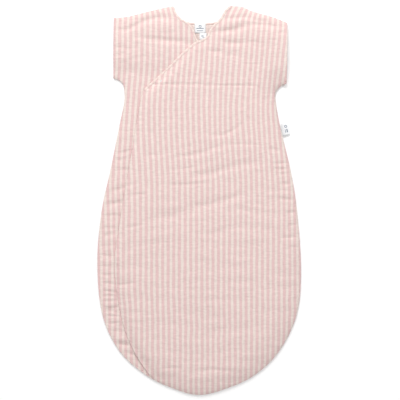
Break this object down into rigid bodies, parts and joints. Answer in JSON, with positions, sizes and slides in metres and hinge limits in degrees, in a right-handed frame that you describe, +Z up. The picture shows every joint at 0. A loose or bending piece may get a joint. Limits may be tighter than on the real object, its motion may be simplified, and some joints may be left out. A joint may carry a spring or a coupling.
{
  "type": "baby sleeping bag",
  "caption": "Wrap-front baby sleeping bag in striped muslin with cap sleeves, a closed rounded foot, a hidden side zip and a front that folds open.",
  "frame": {"origin": "middle of the bag's outline, on the surface that it lies on", "axes": "+Y runs up the bag to the neck, +X across it to the side with the folded label, +Z up off the surface it lies on, out of the front"},
  "size_m": [0.3666, 0.6998, 0.016],
  "materials": {
    "muslin": "woven double gauze, pink and cream stripe",
    "binding": "folded bias strip of the same gauze",
    "lining": "plain cream gauze",
    "label": "white woven ribbon",
    "zip_tape": "knitted tape",
    "zip_chain": "nylon coil",
    "zip_metal": "nickel plated"
  },
  "bodies": {
    "bag": {"back_panel": "muslin", "left_back_sleeve_hem": "muslin", "right_back_sleeve_hem": "muslin", "left_front_sleeve_hem": "muslin", "right_front_sleeve_hem": "muslin", "left_shoulder_seam": "muslin", "right_shoulder_seam": "muslin", "left_side_seam": "muslin", "right_side_seam": "muslin", "left_front_panel": "muslin", "wrap_front_panel": "muslin", "back_neck_binding": "binding", "left_neck_binding": "binding", "wrap_neck_binding": "binding", "back_neck_facing": "lining", "facing_fixed_part": "lining", "left_zip_tape": "zip_tape", "left_zip_chain": "zip_chain", "left_zip_top_stop": "zip_chain", "zip_bottom_stop": "zip_chain", "press_stud": "zip_metal", "press_stud_ring": "zip_metal", "neck_label": "label"},
    "wrap_flap": {"wrap_front_flap": "muslin", "wrap_edge_binding": "binding", "flap_edge_hem": "muslin", "facing_flap_part": "lining", "right_zip_tape": "zip_tape", "right_zip_chain": "zip_chain", "right_zip_top_stop": "zip_chain", "press_stud_socket": "zip_metal"},
    "slider": {"zip_slider": "zip_metal"},
    "puller": {"zip_puller": "zip_metal"},
    "size_tab": {"size_tab": "label"},
    "side_label": {"side_label": "label"},
    "care_label": {"care_label": "label"}
  },
  "joints": [
    {"name": "wrap_fold", "type": "hinge", "parent": "bag", "child": "wrap_flap", "pos_m": [0.0385, 0.326, 0.0158], "axis": [0.1843, 0.9829, 0], "range_deg": [0, 160]},
    {"name": "zip_slide", "type": "slide", "parent": "bag", "child": "slider", "axis": [-0.1767, -0.9843, 0], "range_m": [0, 0.248]},
    {"name": "puller_lift", "type": "hinge", "parent": "slider", "child": "puller", "pos_m": [-0.0872, 0.1801, 0.0103], "axis": [-0.9843, 0.1767, 0], "range_deg": [0, 12]},
    {"name": "size_tab_lift", "type": "hinge", "parent": "bag", "child": "size_tab", "pos_m": [0.00615, 0.3012, 0.0032], "axis": [-1, 0, 0], "range_deg": [0, 130]},
    {"name": "side_label_lift", "type": "hinge", "parent": "bag", "child": "side_label", "pos_m": [0.149, 0.127, 0.0026], "axis": [0.1736, -0.9848, 0], "range_deg": [0, 95]},
    {"name": "care_label_lift", "type": "hinge", "parent": "bag", "child": "care_label", "pos_m": [0.1765, -0.125, 0.0024], "axis": [0, 1, 0], "range_deg": [0, 10]}
  ]
}
